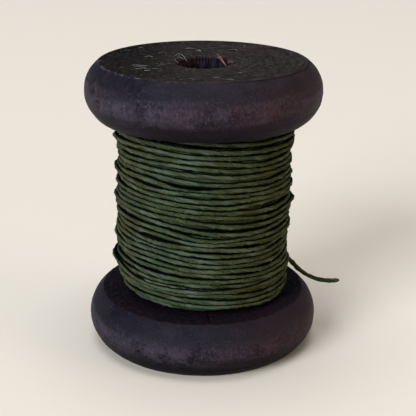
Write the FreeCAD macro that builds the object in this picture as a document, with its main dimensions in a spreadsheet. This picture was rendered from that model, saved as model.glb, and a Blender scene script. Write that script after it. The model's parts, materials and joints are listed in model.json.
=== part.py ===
"""A turned wooden spool wound with twisted thread, as a parametric FreeCAD document.

The spool stands on one flange with its bore along +Z.  The origin is on the axis, at the
height of the ring that the spool stands on.  Lengths are millimetres.

Two round flanges are glued on the ends of a hollow barrel.  The thread fills the space
between them.  Its free end leaves the winding at the back and hangs over the lower rim.
"""

import FreeCAD
import Part
import math
import os

SHEET = "Dimensions"
DIMENSIONS = {
    "total_height": 62.0,
    "flange_radius": 25.0,
    "flange_thickness": 11.9,
    "ridge_radius": 21.9,        # where the rounded rim meets the two faces
    "land_radius": 20.7,         # inner edge of the flat ring that the spool stands on
    "outer_dish_depth": 0.6,
    "inner_dish_depth": 1.0,
    "socket_depth": 5.0,         # how far a barrel end is let into a flange
    "glue_gap": 0.05,
    "barrel_radius": 13.0,
    "bore_radius": 5.5,
    "winding_radius": 18.8,
    "winding_gap": 0.3,          # from a flange's ridge, along the axis, to the inner turns
    "winding_end_radius": 15.4,  # outside this the layers stop shorter and shorter
    "winding_end_slope": 1.5,
    "thread_diameter": 1.2,
}

# The thread's free end: off the last turn, over the lower ridge and out past the rim.
TAIL_ROUTE = [
    (8.2, 16.8, 16.4),
    (12.0, 14.9, 16.4),
    (16.0, 12.5, 15.8),
    (19.4, 10.0, 14.2),
    (21.6, 8.6, 11.9),
    (24.5, 7.4, 10.2),
    (27.9, 6.2, 9.5),
    (31.1, 5.0, 10.3),
]
ARC_SHARE = 0.45                 # the part of the shorter run that a corner's arc takes up

# Radii that follow from the driving dimensions: the rim's section passes through both ridges
# and the widest point, and each dish is a spherical cap.
RIM_CURVE = (
    "((<flange_thickness> / 2) ^ 2 + (<flange_radius> - <ridge_radius>) ^ 2)"
    " / (2 * (<flange_radius> - <ridge_radius>))"
)
OUTER_DISH_CURVE = "(<land_radius> ^ 2 + <outer_dish_depth> ^ 2) / (2 * <outer_dish_depth>)"
INNER_DISH_CURVE = "(<ridge_radius> ^ 2 + <inner_dish_depth> ^ 2) / (2 * <inner_dish_depth>)"


def make_sheet(doc):
    """The driving dimensions, one aliased cell each."""
    sheet = doc.addObject("Spreadsheet::Sheet", SHEET)
    for row, (alias, value) in enumerate(DIMENSIONS.items(), start=1):
        sheet.set(f"A{row}", alias)
        sheet.set(f"B{row}", str(value))
        sheet.setAlias(f"B{row}", alias)
    doc.recompute()
    return sheet


def on_sheet(expression):
    """An expression whose <words> are aliases of the sheet."""
    return expression.replace("<", f"{SHEET}.").replace(">", "")


def primitive(doc, kind, name, height_on_axis="0", **sizes):
    """A Part primitive on the Z axis, with its sizes and its height bound to the sheet."""
    solid = doc.addObject(f"Part::{kind}", name)
    for size, expression in sizes.items():
        solid.setExpression(size, on_sheet(expression))
    solid.setExpression("Placement.Base.z", on_sheet(height_on_axis))
    return solid


def combine(doc, kind, name, first, second):
    """A two-piece boolean: Part::Cut, Part::Common or Part::Fuse."""
    result = doc.addObject(f"Part::{kind}", name)
    result.Base = first
    result.Tool = second
    return result


def make_flange(doc, name):
    """A disc with a fully rounded rim and dished faces, standing on its outer face."""
    slab = primitive(doc, "Cylinder", f"{name}_slab", Radius="<flange_radius>", Height="<flange_thickness>")
    ring = primitive(
        doc, "Torus", f"{name}_ring", "<flange_thickness> / 2",
        Radius1=f"<flange_radius> - {RIM_CURVE}", Radius2=RIM_CURVE,
    )
    rim = combine(doc, "Common", f"{name}_rim", ring, slab)
    disc = primitive(
        doc, "Cylinder", f"{name}_disc",
        Radius=f"<flange_radius> - {RIM_CURVE}", Height="<flange_thickness>",
    )
    blank = combine(doc, "Fuse", f"{name}_blank", rim, disc)

    outer_dish = primitive(
        doc, "Sphere", f"{name}_outer_dish", f"<outer_dish_depth> - {OUTER_DISH_CURVE}",
        Radius=OUTER_DISH_CURVE,
    )
    inner_dish = primitive(
        doc, "Sphere", f"{name}_inner_dish",
        f"<flange_thickness> - <inner_dish_depth> + {INNER_DISH_CURVE}",
        Radius=INNER_DISH_CURVE,
    )
    socket = primitive(
        doc, "Cylinder", f"{name}_socket", "<flange_thickness> - <socket_depth>",
        Radius="<barrel_radius> + <glue_gap>", Height="<socket_depth>",
    )
    bore = primitive(doc, "Cylinder", f"{name}_bore", Radius="<bore_radius>", Height="<flange_thickness>")

    flange = blank
    for tool in (outer_dish, inner_dish, socket, bore):
        flange = combine(doc, "Cut", f"{tool.Name}_cut", flange, tool)
    flange.Label = name
    return flange


def turn_over(flange):
    """Puts a flange on top of the spool with its outer face up."""
    flange.Placement = FreeCAD.Placement(FreeCAD.Vector(), FreeCAD.Rotation(FreeCAD.Vector(1, 0, 0), 180))
    flange.setExpression("Placement.Base.z", on_sheet("<total_height>"))
    return flange


def make_barrel(doc):
    """The hollow core that both flanges are glued to."""
    low = "<flange_thickness> - <socket_depth>"
    length = f"<total_height> - 2 * ({low})"
    outside = primitive(doc, "Cylinder", "barrel_outside", low, Radius="<barrel_radius>", Height=length)
    inside = primitive(doc, "Cylinder", "barrel_inside", low, Radius="<bore_radius>", Height=length)
    barrel = combine(doc, "Cut", "barrel_tube", outside, inside)
    barrel.Label = "barrel"
    return barrel


def make_winding(doc):
    """The wound thread's outer shape: a sleeve on the barrel with sloping ends."""
    low = "<flange_thickness> + <winding_gap>"
    length = f"<total_height> - 2 * ({low})"
    straight = primitive(
        doc, "Cylinder", "winding_straight", f"{low} + <winding_end_slope>",
        Radius="<winding_radius>", Height=f"{length} - 2 * <winding_end_slope>",
    )
    bottom = primitive(
        doc, "Cone", "winding_bottom", low,
        Radius1="<winding_end_radius>", Radius2="<winding_radius>", Height="<winding_end_slope>",
    )
    top = primitive(
        doc, "Cone", "winding_top", f"<total_height> - ({low}) - <winding_end_slope>",
        Radius1="<winding_radius>", Radius2="<winding_end_radius>", Height="<winding_end_slope>",
    )
    sleeve = doc.addObject("Part::MultiFuse", "winding_sleeve")
    sleeve.Shapes = [straight, bottom, top]
    core = primitive(doc, "Cylinder", "winding_core", low, Radius="<barrel_radius>", Height=length)
    winding = combine(doc, "Cut", "winding_hollow", sleeve, core)
    winding.Label = "thread_winding"
    return winding


def make_tail(doc, sheet):
    """The free end of the thread: straight runs joined by arcs as large as the runs allow."""
    points = [FreeCAD.Vector(*point) for point in TAIL_ROUTE]
    edges = []
    start = points[0]
    for before, corner, after in zip(points, points[1:], points[2:]):
        back = (before - corner).normalize()
        ahead = (after - corner).normalize()
        turn = math.pi - back.getAngle(ahead)
        tangent = ARC_SHARE * min((before - corner).Length, (after - corner).Length)
        radius = tangent / math.tan(turn / 2)
        print(f"tail arc radius {radius:.2f} mm, turn {math.degrees(turn):.1f} degrees")
        inward = (back + ahead).normalize()
        middle = corner + inward * (radius / math.cos(turn / 2) - radius)
        arc_start = corner + back * tangent
        arc_end = corner + ahead * tangent
        edges.append(Part.LineSegment(start, arc_start).toShape())
        edges.append(Part.Arc(arc_start, middle, arc_end).toShape())
        start = arc_end
    edges.append(Part.LineSegment(start, points[-1]).toShape())
    path = Part.Wire(edges)

    thread_radius = float(sheet.get("thread_diameter")) / 2
    section = Part.Wire(Part.makeCircle(thread_radius, points[0], points[1] - points[0]))
    tube = path.makePipeShell([section], True, False)
    expected = math.pi * thread_radius ** 2 * path.Length
    print(f"tail length {path.Length:.2f} mm, volume {tube.Volume:.3f} of {expected:.3f} mm3")
    if abs(tube.Volume / expected - 1) > 0.01:
        raise RuntimeError("the tail's volume is not its section times its length")

    tail = doc.addObject("Part::Feature", "tail_tube")
    tail.Shape = tube
    tail.Label = "thread_tail"
    return tail


def check_document(doc, sub_parts):
    """Stops on anything that recompute left failed."""
    for item in doc.Objects:
        if "Invalid" in item.State or "Error" in item.State:
            raise RuntimeError(f"{item.Label} did not recompute: {item.State}")
    for item in sub_parts:
        if item.Shape.isNull() or not item.Shape.isValid():
            raise RuntimeError(f"{item.Label} has no valid shape")
        print(f"{item.Label}: {len(item.Shape.Solids)} solid, {item.Shape.Volume:.1f} mm3")


def main():
    doc = FreeCAD.newDocument("thread_spool")
    sheet = make_sheet(doc)
    sub_parts = [
        make_flange(doc, "bottom_flange"),
        turn_over(make_flange(doc, "top_flange")),
        make_barrel(doc),
        make_winding(doc),
        make_tail(doc, sheet),
    ]
    doc.recompute()
    check_document(doc, sub_parts)
    os.makedirs("parts", exist_ok=True)
    for item in sub_parts:
        item.Shape.exportStep(os.path.join("parts", f"{item.Label}.step"))


main()
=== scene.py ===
"""A dyed wooden spool of twisted green thread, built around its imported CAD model.

Lengths are metres, except where a comment says millimetres.  The spool stands on z = 0 with
its bore along Z, and the camera looks along +Y.
"""

import json
import math
from types import SimpleNamespace

import bpy
import numpy as np
from mathutils import Euler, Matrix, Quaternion, Vector


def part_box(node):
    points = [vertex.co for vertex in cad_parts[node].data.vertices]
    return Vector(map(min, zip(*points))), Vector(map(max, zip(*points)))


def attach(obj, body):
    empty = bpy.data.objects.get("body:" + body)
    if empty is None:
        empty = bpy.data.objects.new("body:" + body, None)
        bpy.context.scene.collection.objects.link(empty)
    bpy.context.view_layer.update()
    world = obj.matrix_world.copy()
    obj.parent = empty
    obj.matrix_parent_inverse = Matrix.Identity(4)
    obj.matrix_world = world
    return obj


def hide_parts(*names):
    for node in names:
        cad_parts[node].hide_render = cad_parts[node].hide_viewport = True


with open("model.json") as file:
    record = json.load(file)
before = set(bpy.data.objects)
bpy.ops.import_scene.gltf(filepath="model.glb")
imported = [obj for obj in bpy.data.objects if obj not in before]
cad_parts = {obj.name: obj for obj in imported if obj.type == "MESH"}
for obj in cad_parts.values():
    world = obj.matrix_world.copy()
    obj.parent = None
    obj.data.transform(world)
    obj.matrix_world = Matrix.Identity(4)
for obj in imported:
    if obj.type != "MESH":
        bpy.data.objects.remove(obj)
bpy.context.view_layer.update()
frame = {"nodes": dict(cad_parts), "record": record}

MM = 0.001
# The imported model's own sizes, in millimetres.
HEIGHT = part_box("top_flange")[1].z / MM
FLANGE_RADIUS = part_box("bottom_flange")[1].x / MM
FLANGE_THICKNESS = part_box("bottom_flange")[1].z / MM
BARREL_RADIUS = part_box("barrel")[1].x / MM
BARREL_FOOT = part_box("barrel")[0].z / MM
BORE_RADIUS = next(m for m in frame["record"]["mounts"] if m["name"] == "spindle_bore")["dims"]["r_mm"]

# ---------------------------------------------------------------- camera

CAMERA_PLACE = (0, -0.2216, 0.1070)
CAMERA_FIELD = 21.84         # degrees across the picture
CAMERA_PITCH = 19.31         # degrees below the horizon
CAMERA_YAW = 0.28            # degrees to the right
CAMERA_ROLL = 0.39           # degrees


def make_camera():
    """The scene's camera, aimed along +Y and a little down."""
    data = bpy.data.cameras.new("camera")
    data.angle = math.radians(CAMERA_FIELD)
    data.clip_start = 0.01
    camera = bpy.data.objects.new("camera", data)
    aim = Euler((math.radians(90 - CAMERA_PITCH), 0, -math.radians(CAMERA_YAW))).to_quaternion()
    camera.rotation_mode = "QUATERNION"
    camera.rotation_quaternion = aim @ Quaternion((0, 0, 1), math.radians(CAMERA_ROLL))
    camera.location = CAMERA_PLACE
    bpy.context.scene.collection.objects.link(camera)
    bpy.context.scene.camera = camera


def mesh_object(name, vertices, faces, attributes=()):
    """A smooth-shaded mesh from points in millimetres, with point attributes for its material."""
    mesh = bpy.data.meshes.new(name)
    mesh.from_pydata((np.asarray(vertices) * MM).tolist(), [], faces)
    for label, values in attributes:
        values = np.asarray(values, dtype=np.float32)
        kind = "FLOAT_VECTOR" if values.ndim == 2 else "FLOAT"
        slot = mesh.attributes.new(label, kind, "POINT")
        slot.data.foreach_set("vector" if values.ndim == 2 else "value", values.ravel())
    mesh.polygons.foreach_set("use_smooth", [True] * len(mesh.polygons))
    mesh.update()
    thing = bpy.data.objects.new(name, mesh)
    bpy.context.scene.collection.objects.link(thing)
    return thing


make_camera()

# ---------------------------------------------------------------- the thread's route, in millimetres

THREAD = 1.2                 # diameter
LIE = 0.90                   # of a diameter, from one strand's middle to that of one it lies on
PITCH = 1.235                # from one turn to the next
STEPS = 48                   # points on each turn
FIRST_AZIMUTH = 180.0        # degrees; the first turn starts on the left
LAYER_ENDS = (12.1, 12.1, 12.3, 13.0, 12.7)  # how near each layer's last turn comes to an end face
END_TURN = 0.5               # the part of a turn over which the thread turns back at a flange
STEEPEST = 0.24              # climb from one point to the next, because the thread is tight
OUTER_LAYER = 17.7           # distance of its middle line from the axis
SINKING = 0.5                # how far a strand that runs over the others sinks in between them
TILT = 0.9                   # how much lower the outermost turns lie in front than at the sides, halfway up
SAG_WAVES = 14               # they also lean and spread in waves
SAG = 0.5                    # the size of those waves
SAG_ALONG = (0.3, 2.5)       # fewest and most of those waves from end to end
CROWDING_WAVES = 12          # and crowd and part again over a few turns
CROWDING = 0.27              # the size of these, and the fewest and most from end to end
CROWDING_ALONG = (3, 9)
WOBBLE = (0.065, 2.0, 9.0)   # of each strand: height, and slowest and quickest waves to a turn
UNDER_LAYERS = 0.1           # how much of all this the layers below have
CROSSINGS = 56               # places where one of them runs up on its neighbour
CROSSING_LENGTH = 0.05       # turns
CROSSING_SHIFT = (0.2, 0.6)  # how far it moves towards that neighbour

# The last turn lies over the others, rising to the left.  Each pair is turns after the layers
# end, and height.
LAST_TURN = (
    (0.00, 12.8), (0.12, 13.6), (0.25, 15.2), (0.38, 16.4), (0.50, 17.0), (0.62, 17.2), (0.75, 17.3),
    (0.88, 17.9), (0.95, 18.8), (1.00, 19.6), (1.06, 19.8), (1.15, 18.6), (1.25, 17.0), (1.32, 16.4),
)
CLIMB_SMOOTHING = 4          # rounds of smoothing that the corners of that rise get
LEAVING = 0.12               # the part of a turn over which it then leaves the winding
LOOSE_TURNS = 58             # the last two layers
# Where strands stand proud, or are pressed in: azimuth, height, lift, and how far that reaches,
# in degrees round and in height.  The first makes the whole winding fuller on the right.
LOOSE_SPOTS = (
    (0, 36.0, 0.50, 45, 13.0), (0, 47.3, 1.90, 30, 0.9), (2, 31.7, 1.10, 13, 1.1),
    (-3, 36.0, 0.45, 14, 1.0), (4, 40.8, 0.35, 16, 1.0), (-4, 45.4, 0.80, 24, 1.2),
    (1, 26.8, 0.30, 14, 1.0), (0, 21.9, -0.80, 22, 1.2),
    (180, 18.7, 1.70, 15, 1.4), (180, 21.5, 1.10, 15, 0.9), (183, 32.3, 0.80, 16, 1.0),
    (176, 39.4, 0.45, 16, 1.0), (183, 46.6, 1.05, 20, 1.5),
    (95, 30.0, 0.45, 24, 1.0), (60, 40.0, 0.40, 24, 1.0), (130, 22.5, 0.45, 20, 1.0),
)

# The free end, as part.py has it.
TAIL_ROUTE = (
    (8.2, 16.8, 16.4), (12.0, 14.9, 16.4), (16.0, 12.5, 15.8), (19.4, 10.0, 14.2),
    (21.6, 8.6, 11.9), (24.5, 7.4, 10.2), (27.9, 6.2, 9.5), (31.1, 5.0, 10.3),
)


def wander(position, seed, size, slowest, quickest, waves=9):
    """A smooth random curve, about size high, with that many waves to each unit of position."""
    rng = np.random.default_rng(seed)
    total = np.zeros_like(position, dtype=float)
    for _ in range(waves):
        wave = rng.uniform(slowest, quickest)
        total += rng.normal() * np.sin(2 * math.pi * (wave * position + rng.random()))
    return size * total / math.sqrt(waves / 2)


def even_heights():
    """The height of every point of the layers, up and down in turn, if every turn lay level."""
    heights = [HEIGHT - LAYER_ENDS[0] - PITCH * step / STEPS for step in range(STEPS)]
    heading, lean, layer = -1, -1.0, 0
    while True:
        step = len(heights)
        height = heights[step - STEPS] + lean * PITCH
        room = (height if heading < 0 else HEIGHT - height) - LAYER_ENDS[layer]
        if layer == len(LAYER_ENDS) - 1:
            if room < PITCH and step % STEPS == 0:
                return np.array(heights)
        elif room < 0 and lean == heading:
            layer += 1
            heading = -heading
        turned = 2 / (END_TURN * STEPS)
        lean = max(lean - turned, -1.0) if heading < 0 else min(lean + turned, 1.0)
        heights.append(height)


def layer_heights():
    """Those heights as the hand that wound them left them: leaning, spread, and crossing."""
    even = even_heights()
    turns = np.arange(len(even)) / STEPS
    share = (even - LAYER_ENDS[0]) / (HEIGHT - 2 * LAYER_ENDS[0])
    outer_turns = (HEIGHT - LAYER_ENDS[-1] - LAYER_ENDS[-2]) / PITCH
    outer = np.clip((turns - turns[-1] + outer_turns) / 2, UNDER_LAYERS, 1)
    free = outer * np.clip(1 - np.abs(2 * share - 1) ** 5, 0, 1)
    tilt = TILT * outer * np.clip(1 - (2 * share - 1) ** 2, 0, 1) ** 3
    rng = np.random.default_rng(21)
    sag = np.zeros(len(even))
    for _ in range(SAG_WAVES):
        round_waves = rng.integers(0, 4)
        along_waves = rng.uniform(*SAG_ALONG) * rng.choice((-1, 1))
        size = rng.normal() / (1 + abs(along_waves))
        sag += size * np.sin(2 * math.pi * (round_waves * turns + along_waves * share + rng.random()))
    heights = even + SAG * free * sag / math.sqrt(SAG_WAVES / 2)
    heights += tilt * np.sin(np.radians(FIRST_AZIMUTH - 360 * turns))
    crowding = CROWDING / math.sqrt(CROWDING_WAVES / 2)
    for _ in range(CROWDING_WAVES):
        phase = rng.integers(0, 5) * turns
        phase = phase + rng.uniform(*CROWDING_ALONG) * rng.choice((-1, 1)) * share + rng.random()
        heights += crowding * free * rng.normal() * np.sin(2 * math.pi * phase)
    heights += free * wander(turns, 22, *WOBBLE)
    for _ in range(CROSSINGS):
        middle = turns[-1] - rng.uniform(1, outer_turns)
        aside = rng.uniform(*CROSSING_SHIFT) * rng.choice((-1, 1))
        heights += free * aside * np.exp(-(((turns - middle) / CROSSING_LENGTH) ** 2))
    return list(heights)


def lay_on(heights):
    """Each point's distance from the axis: on the barrel, or on the strands already there."""
    heights = np.array(heights)
    radii = np.zeros(len(heights))
    reach = LIE * THREAD
    for step, height in enumerate(heights):
        below = slice(step % STEPS, step, STEPS)
        apart = heights[below] - height
        near = np.abs(apart) < reach
        radius = BARREL_RADIUS + THREAD / 2
        if near.any():
            radius = max(radius, (radii[below][near] + np.sqrt(reach**2 - apart[near] ** 2)).max())
        radii[step] = max(radius, radii[step - 1] - STEEPEST) if step else radius
        back = step
        while back > 0 and radii[back - 1] < radii[back] - STEEPEST:
            back -= 1
            radii[back] = radii[back + 1] - STEEPEST
    return radii - SINKING * np.maximum(radii - OUTER_LAYER, 0)


def loosen(heights, radii, azimuths):
    """Lifts or presses in the strands of the last layers at each of the loose spots."""
    recent = np.arange(len(heights)) > len(heights) - LOOSE_TURNS * STEPS
    for azimuth, height, lift, reach_round, reach_up in LOOSE_SPOTS:
        aside = (azimuths - azimuth + 180) % 360 - 180
        above = np.array(heights) - height
        radii += recent * lift * np.exp(-((aside / reach_round) ** 2) - (above / reach_up) ** 2)
    return radii


def thread_route():
    """The whole thread's control points, and how many of them come before the last turn."""
    heights = layer_heights()
    covered = len(heights)
    lasting = np.arange(0, LAST_TURN[-1][0], 1 / STEPS)
    turns, levels = zip(*LAST_TURN)
    climb = np.interp(lasting, turns, levels)
    for _ in range(CLIMB_SMOOTHING):
        climb[1:-1] = (climb[:-2] + climb[1:-1] * 2 + climb[2:]) / 4
    heights = heights + list(climb)
    azimuths = FIRST_AZIMUTH - 360.0 * np.arange(len(heights)) / STEPS
    radii = loosen(heights, lay_on(heights), azimuths)
    leaving = np.clip((np.arange(len(radii)) - len(radii)) / (LEAVING * STEPS) + 1, 0, 1)
    radii += leaving**2 * (math.hypot(*TAIL_ROUTE[0][:2]) - radii)
    angles = np.radians(azimuths)
    wound = np.column_stack((radii * np.cos(angles), radii * np.sin(angles), heights))
    return np.vstack((wound, TAIL_ROUTE)), covered


# ---------------------------------------------------------------- the thread's mesh, in millimetres

PLIES = 3
LAY = 15.0                   # length of thread in which a ply goes once round, to the right
RING_POINTS = 10
HIDDEN_POINTS = 5            # half as many, on the turns that lie under the outermost layer
SHOWN_BEFORE = 3             # turns that get full rings before the outermost layer begins
RING_GAP = 0.45
PLY_DEPTH = 0.10             # of the radius, the groove between two plies
CORE = 0.95                  # the part of the thread's radius that its twisted body fills
SMOOTHING = 4                # points that the spline gives for each control point
TAIL_LENGTH = 27.5
TAIL_TAPER = 0.12            # how much thinner the free end gets, as a part of the radius
TAIL_EVENNESS = 0.3          # how much less its thickness varies than that of the wound thread
FRAYED = 0.7                 # length of its ragged tip
TIP = 0.55                   # what is left of the radius at the very end
COARSE = 0.03                # random roughness, as a part of the radius
RAGGED = 0.10                # the same at the tip
FLATNESS = 0.03              # how much wider than thick the thread is, before it varies
# How it varies: size, and slowest and quickest waves to the millimetre.
TWIST_DRIFT = (0.35, 0.004, 0.05)
THICK_AND_THIN = (0.11, 0.01, 0.09)
LUMPS = (0.06, 0.10, 0.40)
SLUBS = (0.085, 0.40, 0.95, 14)
FLATTENING = (0.11, 0.01, 0.12)
PLY_FULLNESS = (0.07, 0.03, 0.3)


def smooth_route(route):
    """Points along the NURBS spline whose control points are the route."""
    curve = bpy.data.curves.new("thread_line", "CURVE")
    curve.dimensions = "3D"
    spline = curve.splines.new("NURBS")
    spline.points.add(len(route) - 1)
    spline.points.foreach_set("co", np.column_stack((route * MM, np.ones(len(route)))).ravel())
    spline.order_u = 3
    spline.use_endpoint_u = True
    spline.resolution_u = SMOOTHING
    line = bpy.data.objects.new("thread_line", curve)
    bpy.context.scene.collection.objects.link(line)
    bpy.context.view_layer.update()
    mesh = bpy.data.meshes.new_from_object(line)
    points = np.empty(len(mesh.vertices) * 3)
    mesh.vertices.foreach_get("co", points)
    bpy.data.objects.remove(line)
    bpy.data.curves.remove(curve)
    bpy.data.meshes.remove(mesh)
    return points.reshape(-1, 3) / MM


def ring_centres(points, hidden_steps):
    """Ring centres: one every two steps of the hidden turns, and then one every RING_GAP."""
    along = np.concatenate(([0], np.cumsum(np.linalg.norm(np.diff(points, axis=0), axis=1))))
    first_shown = hidden_steps * SMOOTHING
    hidden = along[:first_shown:2 * SMOOTHING]
    shown = np.linspace(along[first_shown], along[-1], int((along[-1] - along[first_shown]) / RING_GAP))
    places = np.concatenate((hidden, shown))
    centres = np.column_stack([np.interp(places, along, points[:, axis]) for axis in range(3)])
    return centres, places, len(hidden)


def strand_shape(places, hidden):
    """How the thread varies along itself: its twist, size and flatness, and each ply's fullness."""
    twist = 2 * math.pi * (places - places[hidden]) / LAY
    twist = twist + wander(places, 31, *TWIST_DRIFT)
    twist[:hidden] = 0
    left = places[-1] - places
    uneven = wander(places, 32, *THICK_AND_THIN) + wander(places, 33, *LUMPS)
    slub = CORE * (1 + np.where(left > TAIL_LENGTH, uneven, uneven * TAIL_EVENNESS))
    slub *= 1 + wander(places, 30, *SLUBS)
    slub *= 1 - TAIL_TAPER * np.clip(1 - left / TAIL_LENGTH, 0, 1)
    slub *= TIP + (1 - TIP) * np.sqrt(np.clip(left / FRAYED, 0, 1))
    flat = FLATNESS + wander(places, 34, *FLATTENING)
    fullness = [1 + wander(places, 35 + ply, *PLY_FULLNESS) for ply in range(PLIES)]
    return twist, slub, flat, fullness


def tube_faces(starts, counts):
    """The faces from ring to ring, one of which has twice the points of the ring before it."""
    faces = [tuple(range(counts[0]))[::-1]]
    for ring in range(len(starts) - 1):
        here, there, count = starts[ring], starts[ring + 1], counts[ring]
        for point in range(count):
            beside = (point + 1) % count
            if counts[ring + 1] == count:
                faces.append((here + point, here + beside, there + beside, there + point))
            else:
                middle = there + 2 * point + 1
                faces.append((here + point, here + beside, there + 2 * beside, middle, there + 2 * point))
    faces.append(tuple(starts[-1] + point for point in range(counts[-1])))
    return faces


def thread_mesh(centres, places, hidden):
    """The twisted tube round the ring centres, its faces, and the attributes for its material."""
    ahead = np.gradient(centres, places, axis=0)
    ahead /= np.linalg.norm(ahead, axis=1)[:, None]
    up = np.array((0, 0, 1.0)) - ahead[:, 2:] * ahead
    up /= np.linalg.norm(up, axis=1)[:, None]
    side = np.cross(ahead, up)
    outward = centres * (1, 1, 0)
    outward /= np.linalg.norm(outward, axis=1)[:, None]
    twist, slub, flat, fullness = strand_shape(places, hidden)
    left = places[-1] - places
    rng = np.random.default_rng(39)

    vertices, fibres, crests, painted_shades, starts, counts = [], [], [], [], [], []
    for ring in range(len(centres)):
        count = HIDDEN_POINTS if ring < hidden else RING_POINTS
        phase = np.arange(count) * 2 * math.pi / count
        crest = np.abs(np.cos(PLIES * phase / 2))
        ply = np.rint(phase / (2 * math.pi / PLIES)).astype(int) % PLIES
        full = np.array([fullness[p][ring] for p in ply])
        radius = THREAD / 2 * slub[ring] * full * (1 - PLY_DEPTH * (1 - crest))
        radius *= 1 + rng.normal(0, RAGGED if left[ring] < FRAYED else COARSE, count)
        angle = phase + twist[ring]
        across = radius * np.cos(angle) * (1 + flat[ring])
        out = radius * np.sin(angle) * (1 - flat[ring])
        offset = across[:, None] * up[ring] + out[:, None] * side[ring]
        wound = 1 if left[ring] > TAIL_LENGTH else 0
        starts.append(len(vertices))
        counts.append(count)
        vertices.extend(centres[ring] + offset)
        # Where a wound point faces inwards, between its neighbours, the material paints shade.
        painted_shades.extend(wound * (1 - offset @ outward[ring] / radius) / 2)
        fibres.extend(zip(np.cos(phase), np.sin(phase), np.full(count, places[ring])))
        crests.extend(crest)
    attributes = (("fibre", fibres), ("crest", crests), ("painted_shade", painted_shades))
    return vertices, tube_faces(starts, counts), attributes


def make_thread():
    """The wound thread and its free end, as one cord."""
    route, covered = thread_route()
    outer_turns = (HEIGHT - LAYER_ENDS[-2] - LAYER_ENDS[-1]) / PITCH
    hidden_steps = covered - int(outer_turns + SHOWN_BEFORE) * STEPS
    centres, places, hidden = ring_centres(smooth_route(route), hidden_steps)
    thread = mesh_object("thread", *thread_mesh(centres, places, hidden))
    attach(thread, "root")
    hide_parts("thread_winding", "thread_tail")
    return thread


thread = make_thread()

# ---------------------------------------------------------------- flanges, in millimetres

SEGMENTS = 360
SECTION_GAP = 0.3            # from point to point of the section, in the dish and on the face
BORE_GAP = 0.35
LEDGE_GAP = 1.2
SOCKET_GAP = 0.8
SOCKET_RADIUS = BARREL_RADIUS + 0.05   # clear of the barrel that stands in it
RIM_CENTRE = 18.2            # distance from the axis to the middle of the rim's oval section
RIM_ROOM = 0.02              # for its lumps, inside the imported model's size
RIM_REACH = FLANGE_RADIUS - RIM_CENTRE - RIM_ROOM
RIM_POINTS = 48
RIDGE = 21.8                 # the ridge between the rim and the outer face
INNER_EDGE = 22.1            # the same on the thread's side
OUTER_DISH = 0.60
INNER_DISH = 1.0
# The outer face inside the ridge: distance from the axis, and depth.  It is steep at first.
FACE_STEPS = ((21.45, 0.05), (21.2, 0.14), (20.95, 0.24), (20.7, 0.31), (20.4, 0.355), (20.1, 0.38))
# Dents in the two rims: azimuth, height above the outer face, half width, and depth.
DENTS = {
    "top_flange": (
        (-154, 3.6, 1.3, 0.40), (-146, 6.2, 0.8, 0.30), (-139, 5.6, 0.5, 0.15), (-97, 7.6, 0.6, 0.12),
        (-60, 5.2, 0.8, 0.08), (-20, 6.4, 0.9, 0.10), (35, 6.0, 1.0, 0.18), (120, 5.0, 0.9, 0.15),
    ),
    "bottom_flange": (
        (-150, 6.0, 0.8, 0.12), (-112, 4.4, 0.7, 0.10), (-75, 6.2, 0.6, 0.08), (-40, 5.4, 1.0, 0.16),
        (-58, 9.6, 0.7, 0.12), (60, 6.2, 0.9, 0.14), (150, 5.6, 1.0, 0.18), (-95, 3.0, 0.5, 0.06),
    ),
}
CRACK = (-86, 15.9, 21.3, 0.35)   # in the lower dish: azimuth, from and to what radius, depth
TEAR = (18.0, -5.4, 1.2, 0.20)    # beside it: x, y, half width, depth
LUMP_WAVES = 10                   # that make each rim a little out of round
LUMP = 0.012
TOOL_MARKS = (0.025, 0.2, 1.6)    # depth, and slowest and quickest waves to the millimetre
BORE_FADE = 2.0                   # how near the bore, and the ridge, they begin to fade
RIDGE_FADE = 1.5
TORN_BORE = (0.3, 3, 30, 14)      # depth, slowest and quickest waves to a turn, how many
TORN_ACROSS = 0.5                 # how far the torn edge of the bore reaches outwards
TORN_DOWN = 0.9                   # and into the bore


def run(start, end, gap):
    """Points along a straight line in the section, not counting its end."""
    count = max(1, round(math.dist(start, end) / gap))
    return [tuple(a + (b - a) * i / count for a, b in zip(start, end)) for i in range(count)]


def flange_section():
    """The closed section of a flange: radius, height above its outer face, and which surface."""
    middle = FLANGE_THICKNESS / 2
    floor = FLANGE_THICKNESS - INNER_DISH
    bore = run((BORE_RADIUS, OUTER_DISH), (BORE_RADIUS, BARREL_FOOT), BORE_GAP)
    bore += run((BORE_RADIUS, BARREL_FOOT), (SOCKET_RADIUS, BARREL_FOOT), LEDGE_GAP)
    bore += run((SOCKET_RADIUS, BARREL_FOOT), (SOCKET_RADIUS, floor), SOCKET_GAP)
    # Where two surfaces meet, the corner is cut by 0.1 or 0.2, as wear leaves it.
    dish = [
        (radius, floor + INNER_DISH * (radius / INNER_EDGE) ** 2 - 0.05)
        for radius in np.arange(SOCKET_RADIUS, INNER_EDGE - 0.4, SECTION_GAP)
    ]
    dish.append((INNER_EDGE - 0.2, FLANGE_THICKNESS - 0.1))
    inner = math.acos((INNER_EDGE + 0.1 - RIM_CENTRE) / RIM_REACH)
    outer = math.acos((RIDGE + 0.12 - RIM_CENTRE) / RIM_REACH)
    rise = (middle - 0.1) / math.sin(outer)
    rim = [
        (RIM_CENTRE + RIM_REACH * math.cos(angle), middle + rise * math.sin(angle))
        for angle in np.linspace(inner, -outer, RIM_POINTS)
    ]
    face = [(RIDGE - 0.1, 0.0), *FACE_STEPS]
    edge, depth = FACE_STEPS[-1]
    for radius in np.arange(edge - SECTION_GAP, BORE_RADIUS + 0.4, -SECTION_GAP):
        face.append((radius, depth + (OUTER_DISH - depth) * (1 - (radius / edge) ** 2)))
    face.append((BORE_RADIUS + 0.2, OUTER_DISH - 0.02))
    surface = ["bore"] * len(bore) + ["dish"] * len(dish) + ["rim"] * len(rim) + ["face"] * len(face)
    return np.array(bore + dish + rim + face), np.array(surface)


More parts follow.
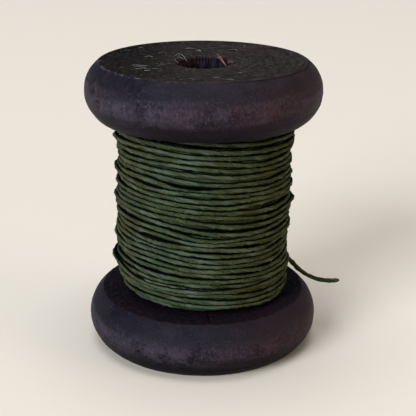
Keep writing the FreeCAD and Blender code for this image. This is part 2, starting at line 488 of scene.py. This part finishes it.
def worn_flange(name, seed, section, surface):
    """The section swept round and worn: the azimuth, radius and height of every point."""
    azimuth = np.arange(SEGMENTS) * 2 * math.pi / SEGMENTS
    around = np.repeat(azimuth[:, None], len(section), axis=1)
    radius = np.repeat(section[None, :, 0], SEGMENTS, axis=0)
    height = np.repeat(section[None, :, 1], SEGMENTS, axis=0)
    rim = surface == "rim"
    turned_flat = (surface == "face") | (surface == "dish")

    rng = np.random.default_rng(seed)
    for _ in range(LUMP_WAVES):
        waves = rng.integers(1, 9)
        along = rng.uniform(0, 0.5)
        size = LUMP * rng.normal()
        lump = size * np.sin(waves * around + 2 * math.pi * (along * height + rng.random()))
        radius += np.where(rim, lump, 0)
    grooves = wander(section[:, 0] + 0.7 * section[:, 1], seed + 1, *TOOL_MARKS)
    settled = np.clip((radius - BORE_RADIUS) / BORE_FADE, 0, 1)
    settled *= np.clip((RIDGE - radius) / RIDGE_FADE, 0, 1)
    height += np.where(turned_flat, grooves * settled, 0)
    radius -= np.where(rim, np.abs(grooves) * 0.6, 0)

    outwards = (radius - BORE_RADIUS) / TORN_ACROSS
    inwards = (height - OUTER_DISH) / TORN_DOWN
    mouth = np.exp(-(outwards**2)) * np.exp(-(inwards**2))
    ragged = np.abs(wander(around / (2 * math.pi), seed + 2, *TORN_BORE))
    radius += np.where(height < OUTER_DISH + 2, mouth * ragged, 0)
    height += np.where(radius < BORE_RADIUS + 1, mouth * ragged * 0.8, 0)

    for degrees, level, width, depth in DENTS[name]:
        aside = (around - math.radians(degrees) + math.pi) % (2 * math.pi) - math.pi
        off = (aside * FLANGE_RADIUS) ** 2 + (height - level) ** 2
        radius -= np.where(rim, depth * np.exp(-off / width**2), 0)
    return around, radius, height


def swept_faces(count, mirrored):
    """The faces of a closed section of that many points, swept all the way round."""
    faces = []
    for segment in range(SEGMENTS):
        after = (segment + 1) % SEGMENTS
        for point in range(count):
            beside = (point + 1) % count
            corners = (
                segment * count + point, segment * count + beside,
                after * count + beside, after * count + point,
            )
            faces.append(corners if mirrored else corners[::-1])
    return faces


def make_flange(name, seed):
    """A turned flange, with the marks of the tool, a torn bore and a dented rim."""
    section, surface = flange_section()
    face, dish, bore = (surface == kind for kind in ("face", "dish", "bore"))
    around, radius, height = worn_flange(name, seed, section, surface)
    x, y = radius * np.cos(around), radius * np.sin(around)
    ridge = np.exp(-(((section[:, 0] - RIDGE) / 0.2) ** 2)) * (section[:, 1] < 1)
    dark = ridge * np.clip(x / 8, 0, 1)
    upper = name == "top_flange"
    if upper:
        height = HEIGHT - height
    else:
        degrees, start, end, depth = CRACK
        inside = (radius > start) & (radius < end) & dish
        cracked = inside & (np.abs(around - math.radians(degrees % 360)) < math.pi / SEGMENTS)
        height -= depth * cracked
        across, ahead, width, depth = TEAR
        torn = np.exp(-((x - across) ** 2 + (y - ahead) ** 2) / width**2) * dish
        height -= depth * torn
        dark = np.maximum(cracked, torn)
    vertices = np.stack((x, y, height), axis=-1).reshape(-1, 3)
    marks = (("face", face), ("dish", dish), ("bore", bore), ("ridge", ridge))
    attributes = [(label, np.tile(values.astype(float), SEGMENTS)) for label, values in marks]
    attributes.append(("dark", dark.ravel()))
    flange = mesh_object(f"{name}_wood", vertices, swept_faces(len(section), upper), attributes)
    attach(flange, "root")
    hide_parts(name)
    return flange


top_flange = make_flange("top_flange", 51)
bottom_flange = make_flange("bottom_flange", 61)

# ---------------------------------------------------------------- torn fibres, in millimetres

PALE, ORANGE, MAUVE = 0, 1, 2
# Fibres that lie on the top face or stand from the torn bore: points, half thickness, colour.
FIBRES = (
    (((-15.2, -4.6, 61.62), (-14.0, -4.2, 61.75), (-12.6, -4.9, 61.7), (-11.2, -4.4, 61.62)), 0.045, PALE),
    (((-14.6, -6.2, 61.62), (-13.2, -5.4, 61.72), (-12.4, -6.8, 61.7), (-11.6, -5.8, 61.62)), 0.04, PALE),
    (((-12.8, -8.2, 61.62), (-11.9, -7.2, 61.75), (-11.0, -8.4, 61.7), (-10.6, -9.4, 61.62)), 0.05, PALE),
    (((-11.9, -9.0, 61.62), (-11.4, -9.9, 61.75), (-10.7, -9.1, 61.62)), 0.06, PALE),
    (((-13.9, -7.6, 61.62), (-12.6, -7.9, 61.7), (-10.9, -6.6, 61.62)), 0.035, PALE),
    (((-10.4, -7.0, 61.6), (-9.4, -7.9, 61.7), (-8.2, -7.6, 61.6)), 0.035, PALE),
    (((-9.6, -4.4, 61.58), (-8.0, -3.2, 61.66), (-6.6, -1.8, 61.6)), 0.035, PALE),
    (((-9.8, 8.2, 61.6), (-9.2, 9.6, 61.72), (-8.0, 9.2, 61.68), (-8.2, 8.0, 61.6)), 0.045, PALE),
    (((-12.6, 4.6, 61.6), (-11.6, 5.4, 61.7), (-10.8, 4.8, 61.6)), 0.045, PALE),
    (((-18.0, 11.0, 61.62), (-17.0, 11.6, 61.7), (-16.0, 11.2, 61.62)), 0.045, PALE),
    (((-15.6, 14.6, 61.62), (-14.4, 15.1, 61.7), (-13.4, 14.6, 61.62)), 0.04, PALE),
    (((-4.4, 13.8, 61.6), (-3.0, 14.3, 61.7), (-1.6, 13.9, 61.6)), 0.05, PALE),
    (((-1.9, 11.0, 61.6), (-1.1, 11.8, 61.78), (-0.6, 10.8, 61.62)), 0.09, PALE),
    (((8.7, 16.6, 61.6), (8.95, 16.9, 61.75), (9.2, 16.6, 61.6)), 0.09, PALE),
    (((5.4, 12.6, 61.6), (6.6, 13.6, 61.7), (7.4, 12.4, 61.6)), 0.04, PALE),
    (((4.2, -17.3, 61.62), (4.9, -16.9, 61.7), (5.8, -17.2, 61.62)), 0.04, PALE),
    (((1.8, -15.2, 61.62), (2.4, -15.7, 61.7), (3.2, -15.3, 61.62)), 0.035, PALE),
    (((6.8, -10.9, 61.6), (7.3, -10.5, 61.68), (7.9, -10.9, 61.6)), 0.035, PALE),
    (
        ((-6.3, 5.8, 61.5), (-5.5, 7.1, 61.9), (-4.7, 5.5, 62.0), (-4.0, 3.4, 61.8), (-3.4, 1.0, 61.2)),
        0.06, PALE,
    ),
    (((-5.6, 4.4, 61.5), (-5.0, 2.9, 61.95), (-4.3, 3.3, 61.5)), 0.05, PALE),
    (((-5.5, 8.0, 61.5), (-5.3, 6.6, 62.1), (-5.2, 5.4, 61.5)), 0.045, PALE),
    (((-6.0, 1.3, 61.5), (-5.9, 2.9, 62.0), (-5.2, 4.0, 61.6)), 0.05, PALE),
    (((-5.3, -0.9, 61.4), (-5.9, 0.4, 61.8), (-5.8, 1.7, 61.5)), 0.045, PALE),
    (((3.0, 4.6, 61.3), (3.35, 3.6, 62.15), (3.9, 2.4, 61.5), (4.7, 0.6, 60.5)), 0.10, ORANGE),
    (((2.7, 4.8, 61.3), (3.0, 3.9, 61.9), (3.6, 2.5, 61.4), (4.45, 0.8, 60.8)), 0.06, ORANGE),
    (((3.2, 3.8, 62.0), (2.9, 4.4, 62.3), (2.5, 4.7, 61.9)), 0.045, ORANGE),
    (((4.9, 1.7, 61.2), (5.4, 1.5, 61.75), (5.9, 0.5, 61.5)), 0.09, MAUVE),
    (((4.9, 0.7, 61.2), (5.6, 0.3, 61.75), (6.2, -0.4, 61.5)), 0.12, MAUVE),
    (((4.9, -0.3, 61.1), (5.5, -0.9, 61.7), (6.1, -0.7, 61.5)), 0.10, MAUVE),
)
FLECKS = 46                  # shorter ones, strewn mostly over the left of the top face
FLECK_THICKNESS = 0.024
FLECK_LENGTH = (0.3, 1.1)
FLECK_BEND = 0.8             # of half its length, at most
FLECK_RISE = 0.08
FLECK_RADII = (6.5, 19.5)    # how far from the axis they lie
KEPT_LEFT = 0.9              # the share of them that stay, at the left and elsewhere
KEPT_ELSEWHERE = 0.22
FIBRE_SIDES = 5
FIBRE_STEPS = 14
ROUNDINGS = 3                # times that a fibre's corners are cut
ASKEW = (0.13, 0.21, 0.97)   # a direction in which none of them runs


def flecks():
    """The strewn fibres, each as FIBRES has them."""
    rng = np.random.default_rng(71)
    found = []
    while len(found) < FLECKS:
        radius = rng.uniform(*FLECK_RADII)
        azimuth = rng.uniform(0, 2 * math.pi)
        x, y = radius * math.cos(azimuth), radius * math.sin(azimuth)
        if rng.random() > (KEPT_LEFT if x < -2 else KEPT_ELSEWHERE):
            continue
        level = HEIGHT - OUTER_DISH + (OUTER_DISH - FACE_STEPS[-1][1]) * (radius / FACE_STEPS[-1][0]) ** 2
        heading = rng.uniform(0, 2 * math.pi)
        length = rng.uniform(*FLECK_LENGTH)
        along = np.array((math.cos(heading), math.sin(heading), 0)) * length / 2
        bend = np.array((-along[1], along[0], 0)) * rng.uniform(-FLECK_BEND, FLECK_BEND)
        middle = np.array((x, y, level))
        rise = np.array((0, 0, FLECK_RISE))
        found.append(((middle - along, middle + bend + rise, middle + along), FLECK_THICKNESS, PALE))
    return found


def fibre_tube(points, thickness):
    """A thin closed tube with pointed ends along a smooth curve near the points."""
    points = np.array(points, dtype=float)
    for _ in range(ROUNDINGS):
        cut = [points[0]]
        for start, end in zip(points, points[1:]):
            cut += [start * 0.75 + end * 0.25, start * 0.25 + end * 0.75]
        points = np.array(cut + [points[-1]])
    along = np.linspace(0, len(points) - 1, FIBRE_STEPS)
    line = np.column_stack([np.interp(along, np.arange(len(points)), points[:, axis]) for axis in range(3)])
    ahead = np.gradient(line, axis=0)
    ahead /= np.linalg.norm(ahead, axis=1)[:, None]
    side = np.cross(ahead, ASKEW)
    side /= np.linalg.norm(side, axis=1)[:, None]
    up = np.cross(side, ahead)
    share = np.linspace(0, 1, FIBRE_STEPS)
    width = thickness * np.minimum(1, 4 * share + 0.25) * np.minimum(1, 4 * (1 - share) + 0.1)
    rings = []
    for corner in range(FIBRE_SIDES):
        angle = 2 * math.pi * corner / FIBRE_SIDES
        rings.append(line + width[:, None] * (math.cos(angle) * side + math.sin(angle) * up))
    vertices = np.stack(rings, axis=1).reshape(-1, 3)
    faces = [tuple(range(FIBRE_SIDES)), tuple(range(len(vertices) - FIBRE_SIDES, len(vertices)))[::-1]]
    for step in range(FIBRE_STEPS - 1):
        for corner in range(FIBRE_SIDES):
            here = step * FIBRE_SIDES
            beside = (corner + 1) % FIBRE_SIDES
            above = here + FIBRE_SIDES
            faces.append((here + corner, above + corner, above + beside, here + beside))
    return vertices, faces


def make_fibres():
    """All the fibres as one piece, with their colours in the attribute dye."""
    vertices, faces, dyes = [], [], []
    for points, thickness, dye in [*FIBRES, *flecks()]:
        tube, sides = fibre_tube(points, thickness)
        faces += [tuple(len(vertices) + corner for corner in side) for side in sides]
        vertices.extend(tube)
        dyes += [dye] * len(tube)
    fibres = mesh_object("torn_fibres", vertices, faces, (("dye", dyes),))
    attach(fibres, "root")
    return fibres


torn_fibres = make_fibres()


# ---------------------------------------------------------------- materials


class Nodes:
    """Short ways to add and join shader nodes."""

    def __init__(self, name):
        self.material = bpy.data.materials.new(name)
        self.material.use_nodes = True
        self.tree = self.material.node_tree
        self.shader = self.tree.nodes["Principled BSDF"]

    def add(self, kind, settings=(), **inputs):
        """A new node; an underscore in an input's name stands for a space."""
        node = self.tree.nodes.new(kind)
        for name, value in settings:
            setattr(node, name, value)
        for name, value in inputs.items():
            self.put(node.inputs[name.replace("_", " ")], value)
        return node

    def put(self, socket, value):
        """Joins another node's output to a socket, or sets the socket to a plain value."""
        if isinstance(value, bpy.types.NodeSocket):
            self.tree.links.new(value, socket)
        else:
            socket.default_value = value

    def math(self, operation, first, second=0.0, clamp=False):
        node = self.add("ShaderNodeMath", (("operation", operation), ("use_clamp", clamp)))
        self.put(node.inputs[0], first)
        self.put(node.inputs[1], second)
        return node.outputs[0]

    def noise(self, place, scale, detail=3.0, roughness=0.55, distortion=0.0):
        node = self.add(
            "ShaderNodeTexNoise", Vector=place, Scale=scale, Detail=detail,
            Roughness=roughness, Distortion=distortion,
        )
        return node.outputs["Fac"]

    def spread(self, value, low, high, to_low=0.0, to_high=1.0):
        """Maps low..high to to_low..to_high, and holds it there outside."""
        node = self.add("ShaderNodeMapRange", (("interpolation_type", "SMOOTHSTEP"),))
        for name, number in (
            ("Value", value), ("From Min", low), ("From Max", high),
            ("To Min", to_low), ("To Max", to_high),
        ):
            self.put(node.inputs[name], number)
        return node.outputs["Result"]

    def mix(self, share, first, second, blend="MIX"):
        node = self.add("ShaderNodeMix", (("data_type", "RGBA"), ("blend_type", blend)))
        self.put(node.inputs["Factor"], share)
        self.put(node.inputs["A"], first)
        self.put(node.inputs["B"], second)
        return node.outputs["Result"]

    def stretched(self, place, x, y, z):
        node = self.add("ShaderNodeVectorMath", (("operation", "MULTIPLY"),))
        self.put(node.inputs[0], place)
        self.put(node.inputs[1], (x, y, z))
        return node.outputs["Vector"]

    def bump(self, height, distance, strength=1.0, below=None):
        """A normal that shows the height as relief, on top of the relief below."""
        node = self.add("ShaderNodeBump", Height=height, Distance=distance, Strength=strength)
        if below is not None:
            self.put(node.inputs["Normal"], below)
        return node.outputs["Normal"]


def colour(red, green, blue):
    """An opaque colour."""
    return (red, green, blue, 1.0)


def bored_colour(n, place, parts):
    """The colour of rough bored wood, dark with dye, reddish at the left, with fibres along it."""
    fibres = n.noise(n.stretched(place, 1.0, 1.0, 0.14), 1700.0, 4.0, 0.65)
    patches = n.noise(place, 300.0, 4.0)
    base = n.mix(n.spread(fibres, 0.40, 0.66), colour(0.0015, 0.0012, 0.0026), colour(0.021, 0.015, 0.030))
    base = n.mix(n.spread(patches, 0.50, 0.64, 0.0, 0.6), base, colour(0.014, 0.006, 0.010))
    base = n.mix(n.spread(parts["X"], -0.0040, -0.0022, 0.85, 0.0), base, colour(0.026, 0.007, 0.005))
    return base


def thread_material():
    """Soft spun thread: fibres that run with the plies, dark between them with painted shade and some dye,
    painted shade between the wound strands, painted highlights, a painted warm tint of light at the sides,
    and uneven dye.
    """
    n = Nodes("green_thread")
    fibre = n.add("ShaderNodeAttribute", (("attribute_name", "fibre"),)).outputs["Vector"]
    crest = n.add("ShaderNodeAttribute", (("attribute_name", "crest"),)).outputs["Fac"]
    painted_shade = n.add("ShaderNodeAttribute", (("attribute_name", "painted_shade"),)).outputs["Fac"]
    place = n.add("ShaderNodeTexCoord").outputs["Object"]
    hairs = n.noise(n.stretched(fibre, 2.3, 2.3, 2.3), 1.0, 4.0, 0.80)
    fluff_and_highlights = n.noise(n.stretched(fibre, 0.60, 0.60, 0.20), 1.0, 5.0, 0.62)
    batch = n.noise(n.stretched(fibre, 0.6, 0.6, 0.09), 1.0, 2.0)
    patches = n.noise(place, 110.0, 2.0)
    base = n.mix(n.spread(hairs, 0.36, 0.64), colour(0.009, 0.016, 0.006), colour(0.076, 0.107, 0.052))
    base = n.mix(n.spread(batch, 0.35, 0.65, 0.0, 0.5), base, colour(0.036, 0.040, 0.012))
    base = n.mix(n.spread(patches, 0.46, 0.66, 0.0, 0.45), base, colour(0.027, 0.056, 0.034))
    # Painted highlights: pale bluish-grey patches along the thread.
    base = n.mix(n.spread(fluff_and_highlights, 0.44, 0.68, 0.0, 0.56), base, colour(0.120, 0.160, 0.125))
    # Painted shade, with some darker dye, in the grooves between the plies.
    base = n.mix(n.spread(crest, 0.0, 0.50, 0.32, 0.0), base, colour(0.005, 0.010, 0.005))
    # Painted shade, near black, where a wound strand faces in between its neighbours.
    base = n.mix(n.spread(painted_shade, 0.09, 0.27, 0.0, 1.0), base, colour(0.0006, 0.0018, 0.0009))
    # Painted light: the right of the thread is tinted warm and darker, and the far left warm, as the lamps'
    # light falls.
    side = n.add("ShaderNodeSeparateXYZ", Vector=place).outputs["X"]
    base = n.mix(n.spread(side, -0.005, 0.014), base, colour(0.83, 0.67, 0.49), "MULTIPLY")
    base = n.mix(n.spread(side, -0.018, -0.007, 1.0, 0.0), base, colour(1.07, 0.87, 0.78), "MULTIPLY")
    n.put(n.shader.inputs["Base Color"], base)
    n.put(n.shader.inputs["Roughness"], n.spread(fluff_and_highlights, 0.45, 0.70, 0.80, 0.55))
    n.put(n.shader.inputs["Specular IOR Level"], 0.05)
    rough = n.bump(hairs, 0.00020)
    n.put(n.shader.inputs["Normal"], n.bump(fluff_and_highlights, 0.00018, 1.0, rough))
    return n.material


def wood_fields(n, seed):
    """What the wood's colours follow: where a point is, how it faces, and several noises."""
    place = n.add("ShaderNodeTexCoord").outputs["Object"]
    parts = n.add("ShaderNodeSeparateXYZ", Vector=place).outputs
    normal = n.add("ShaderNodeNewGeometry").outputs["Normal"]
    squares = n.math("ADD", n.math("POWER", parts["X"], 2.0), n.math("POWER", parts["Y"], 2.0))
    radius = n.math("SQRT", squares)
    rings_at = n.add("ShaderNodeCombineXYZ", X=radius, Y=parts["Z"], Z=seed).outputs["Vector"]
    turned_at = n.add(
        "ShaderNodeCombineXYZ", X=n.math("MULTIPLY", radius, 700.0),
        Y=n.math("DIVIDE", parts["X"], radius), Z=n.math("DIVIDE", parts["Y"], radius),
    ).outputs["Vector"]
    marks = {
        label: n.add("ShaderNodeAttribute", (("attribute_name", label),)).outputs["Fac"]
        for label in ("face", "dish", "bore", "ridge", "dark")
    }
    return SimpleNamespace(
        place=place,
        parts=parts,
        slope=n.add("ShaderNodeSeparateXYZ", Vector=normal).outputs["Z"],
        left=n.spread(parts["X"], -0.018, 0.004, 1.0, 0.0),
        right=n.spread(parts["X"], -0.012, 0.022),
        rings=n.noise(rings_at, 1900.0, 3.0, 0.6),
        turned=n.noise(n.stretched(turned_at, 1.0, 5.0, 5.0), 1.0, 5.0, 0.7),
        mottle=n.noise(place, 210.0, 6.0, 0.72),
        streaks=n.noise(n.stretched(place, 1.0, 1.0, 0.7), 2300.0, 3.0, 0.65),
        cloud=n.noise(place, 60.0, 3.0),
        stain=n.noise(n.stretched(place, 1.0, 1.0, 1.6), 95.0, 4.0),
        crumbs=n.noise(place, 1300.0, 3.0, 0.7),
        speck=n.noise(place, 2400.0, 1.0, 0.5),
        **marks,
    )


def rim_colour(n, wood, painted_light_level, underside_shade):
    """Mottled blue and purple, darker and bluer where the rim faces up with painted shade and a painted
    cool reflection, with warm painted light on the right, and dark where it faces down with painted shade.
    """
    mottled = n.spread(wood.mottle, 0.36, 0.64)
    rim = n.mix(mottled, colour(0.0045, 0.0030, 0.0070), colour(0.056, 0.039, 0.057))
    rim = n.mix(n.spread(wood.cloud, 0.42, 0.60, 0.0, 0.5), rim, colour(0.036, 0.020, 0.027))
    rim = n.mix(n.spread(wood.stain, 0.48, 0.64, 0.0, 0.45), rim, colour(0.025, 0.026, 0.040))
    # Grain painted pale, partly as a painted sheen on the rim.
    rim = n.mix(n.spread(wood.streaks, 0.46, 0.72, 0.0, 0.45), rim, colour(0.088, 0.070, 0.094))
    rim = n.mix(n.spread(wood.crumbs, 0.32, 0.46, 0.5, 0.0), rim, colour(0.004, 0.003, 0.006))
    # Painted light: the rim is tinted cool on the left and warm on the right, as brightly as
    # painted_light_level says.
    cool = colour(0.90 * painted_light_level, 1.00 * painted_light_level, 1.04 * painted_light_level)
    warm = colour(0.97 * painted_light_level, 0.76 * painted_light_level, 0.74 * painted_light_level)
    rim = n.mix(1.0, rim, n.mix(wood.right, cool, warm), "MULTIPLY")
    # Painted shade and a painted cool reflection where the rim faces up: darker and bluer on the left,
    # warmer at the far right.
    far_right = n.spread(wood.parts["X"], 0.004, 0.022)
    upper = n.mix(far_right, colour(0.0080, 0.0082, 0.0125), colour(0.0150, 0.0098, 0.0112))
    upper = n.mix(wood.left, upper, colour(0.0028, 0.0030, 0.0075))
    scattered = n.math("MULTIPLY", n.math("SUBTRACT", wood.mottle, 0.5), 1.3)
    facing_up = n.math("ADD", wood.slope, scattered)
    rim = n.mix(n.spread(facing_up, 0.10, 0.48, 0.0, 0.74), rim, upper)
    # Painted shade: the rim takes the dark colour given for where it faces down.
    return n.mix(n.spread(wood.slope, -0.55, 0.0, 0.92, 0.0), rim, underside_shade)


def face_colour(n, wood):
    """Grey-brown with the marks of turning, darker on the left, with pale and dark crumbs."""
    marked = n.spread(wood.turned, 0.38, 0.62)
    flat = n.mix(marked, colour(0.0145, 0.0105, 0.0100), colour(0.043, 0.033, 0.031))
    flat = n.mix(n.spread(wood.rings, 0.42, 0.60, 0.55, 0.0), flat, colour(0.006, 0.0050, 0.0050))
    # The left of the face is made darker.
    clouded = n.spread(wood.cloud, 0.40, 0.62)
    left_darkening = n.mix(clouded, colour(0.0020, 0.0018, 0.0028), colour(0.0070, 0.0036, 0.0038))
    flat = n.mix(n.math("MULTIPLY", wood.left, 0.90), flat, left_darkening)
    flat = n.mix(n.spread(wood.turned, 0.60, 0.74, 0.0, 0.45), flat, colour(0.060, 0.052, 0.050))
    flat = n.mix(n.spread(wood.crumbs, 0.54, 0.70, 0.0, 0.8), flat, colour(0.062, 0.054, 0.052))
    return n.mix(n.spread(wood.crumbs, 0.34, 0.46, 0.7, 0.0), flat, colour(0.003, 0.0025, 0.003))


def dish_colour(n, wood):
    """Dark wood on the thread's side, purple, with a little red."""
    crumbled = n.spread(wood.crumbs, 0.45, 0.70)
    hollow = n.mix(crumbled, colour(0.0040, 0.0030, 0.0060), colour(0.022, 0.014, 0.021))
    return n.mix(n.spread(wood.cloud, 0.46, 0.62, 0.0, 0.35), hollow, colour(0.016, 0.005, 0.009))


def wood_material(name, seed, painted_light_level, underside_shade):
    """Dark dyed wood, turned: bluish and purple on the rim, grey-brown on the outer face."""
    n = Nodes(name)
    wood = wood_fields(n, seed)
    base = n.mix(wood.face, rim_colour(n, wood, painted_light_level, underside_shade), face_colour(n, wood))
    base = n.mix(wood.dish, base, dish_colour(n, wood))
    base = n.mix(wood.bore, base, bored_colour(n, wood.place, wood.parts))
    base = n.mix(n.spread(wood.speck, 0.75, 0.80, 0.0, 0.4), base, colour(0.100, 0.092, 0.096))
    worn = n.math("MULTIPLY", wood.ridge, n.spread(wood.crumbs, 0.48, 0.62))
    worn = n.math("MULTIPLY", worn, n.spread(wood.left, 0.1, 0.6, 0.0, 0.7))
    base = n.mix(worn, base, colour(0.130, 0.125, 0.125))
    base = n.mix(n.math("MULTIPLY", wood.dark, 0.85), base, colour(0.0018, 0.0012, 0.0018))
    n.put(n.shader.inputs["Base Color"], base)
    matt = n.math("MULTIPLY", n.math("MAXIMUM", wood.face, wood.dish), 0.28)
    n.put(n.shader.inputs["Roughness"], n.math("ADD", matt, n.spread(wood.mottle, 0.3, 0.7, 0.50, 0.62)))
    n.put(n.shader.inputs["Specular IOR Level"], 0.06)
    low = n.bump(wood.rings, 0.00005)
    low = n.bump(wood.streaks, 0.00006, 1.0, low)
    n.put(n.shader.inputs["Normal"], n.bump(wood.crumbs, 0.00008, 1.0, low))
    return n.material


def fibre_material():
    """Torn wood fibres, pale where the dye did not reach."""
    n = Nodes("pale_fibres")
    place = n.add("ShaderNodeTexCoord").outputs["Object"]
    dye = n.add("ShaderNodeAttribute", (("attribute_name", "dye"),)).outputs["Fac"]
    patches = n.noise(place, 700.0, 3.0)
    base = n.mix(n.spread(patches, 0.38, 0.58), colour(0.045, 0.042, 0.046), colour(0.200, 0.185, 0.185))
    base = n.mix(n.spread(dye, 0.4, 0.6), base, colour(0.230, 0.115, 0.090))
    base = n.mix(n.spread(dye, 1.4, 1.6), base, colour(0.085, 0.042, 0.056))
    n.put(n.shader.inputs["Base Color"], base)
    n.put(n.shader.inputs["Roughness"], n.spread(patches, 0.3, 0.7, 0.6, 0.85))
    n.put(n.shader.inputs["Specular IOR Level"], 0.15)
    n.put(n.shader.inputs["Normal"], n.bump(patches, 0.00003))
    return n.material


def barrel_material():
    """The rough bored wood of the barrel."""
    n = Nodes("bored_wood")
    place = n.add("ShaderNodeTexCoord").outputs["Object"]
    parts = n.add("ShaderNodeSeparateXYZ", Vector=place).outputs
    fibres = n.noise(n.stretched(place, 1.0, 1.0, 0.14), 1700.0, 4.0, 0.65)
    n.put(n.shader.inputs["Base Color"], bored_colour(n, place, parts))
    n.put(n.shader.inputs["Roughness"], n.spread(fibres, 0.3, 0.7, 0.7, 0.9))
    n.put(n.shader.inputs["Specular IOR Level"], 0.08)
    n.put(n.shader.inputs["Normal"], n.bump(fibres, 0.00015))
    return n.material


def dress(thing, material):
    """Gives a piece its one material."""
    thing.data.materials.clear()
    thing.data.materials.append(material)


dress(thread, thread_material())
# The bottom flange's copy of the wood is painted darker, and darker still where it faces down, as painted
# shade.
dress(top_flange, wood_material("dyed_wood_top", 0.3, 1.0, colour(0.0065, 0.0042, 0.0075)))
dress(bottom_flange, wood_material("dyed_wood_bottom_painted_darker", 0.7, 0.82, colour(0.0018, 0.0010, 0.0020)))
barrel = frame["nodes"]["barrel"]
dress(barrel, barrel_material())
dress(torn_fibres, fibre_material())

# ---------------------------------------------------------------- floor and light

FLOOR_REACH = 30.0
LIT_PLACE = (0, 0, 0.03)     # that every lamp is aimed at
# Name, place, side, power in watts, and colour.
LAMPS = (
    ("window", (-3.2, -4.0, 2.5), 2.8, 352.0, (0.90, 0.95, 1.0)),
    ("fill", (3.9, -1.56, 1.1), 2.4, 67.0, (1.0, 0.82, 0.62)),
    ("ceiling", (-0.28, 0.28, 5.5), 4.7, 215.0, (0.97, 0.98, 1.0)),
)
# How strongly the surroundings glow: level and below, and overhead.  Overhead begins where a
# direction of length 1 rises by SKY_HEIGHT.
HORIZON_GLOW = 0.78
SKY_GLOW = 0.15
SKY_HEIGHT = 0.25


def make_floor():
    """A plain pale floor, too wide to see the end of."""
    corners = [(x * FLOOR_REACH, y * FLOOR_REACH, 0) for x, y in ((-1, -1), (1, -1), (1, 1), (-1, 1))]
    mesh = bpy.data.meshes.new("floor")
    mesh.from_pydata(corners, [], [(0, 1, 2, 3)])
    floor = bpy.data.objects.new("floor", mesh)
    bpy.context.scene.collection.objects.link(floor)
    n = Nodes("pale_floor")
    n.put(n.shader.inputs["Base Color"], colour(0.74, 0.68, 0.60))
    n.put(n.shader.inputs["Roughness"], 0.8)
    floor.data.materials.append(n.material)


def make_light(name, place, size, power, tint):
    """A soft square lamp."""
    data = bpy.data.lights.new(name, "AREA")
    data.size = size
    data.energy = power
    data.color = tint
    light = bpy.data.objects.new(name, data)
    light.location = place
    light.rotation_mode = "QUATERNION"
    light.rotation_quaternion = (Vector(LIT_PLACE) - Vector(place)).to_track_quat("-Z", "Y")
    bpy.context.scene.collection.objects.link(light)


def make_world():
    """Pale surroundings, without a picture in them."""
    world = bpy.data.worlds.new("studio")
    world.use_nodes = True
    tree = world.node_tree
    background = tree.nodes["Background"]
    background.inputs["Color"].default_value = colour(0.80, 0.79, 0.77)
    direction = tree.nodes.new("ShaderNodeTexCoord").outputs["Generated"]
    parts = tree.nodes.new("ShaderNodeSeparateXYZ")
    fade = tree.nodes.new("ShaderNodeMapRange")
    fade.inputs["From Max"].default_value = SKY_HEIGHT
    fade.inputs["To Min"].default_value = HORIZON_GLOW
    fade.inputs["To Max"].default_value = SKY_GLOW
    tree.links.new(direction, parts.inputs["Vector"])
    tree.links.new(parts.outputs["Z"], fade.inputs["Value"])
    tree.links.new(fade.outputs["Result"], background.inputs["Strength"])
    bpy.context.scene.world = world


make_floor()
for lamp in LAMPS:
    make_light(*lamp)
make_world()
bpy.context.scene.view_settings.view_transform = "Standard"
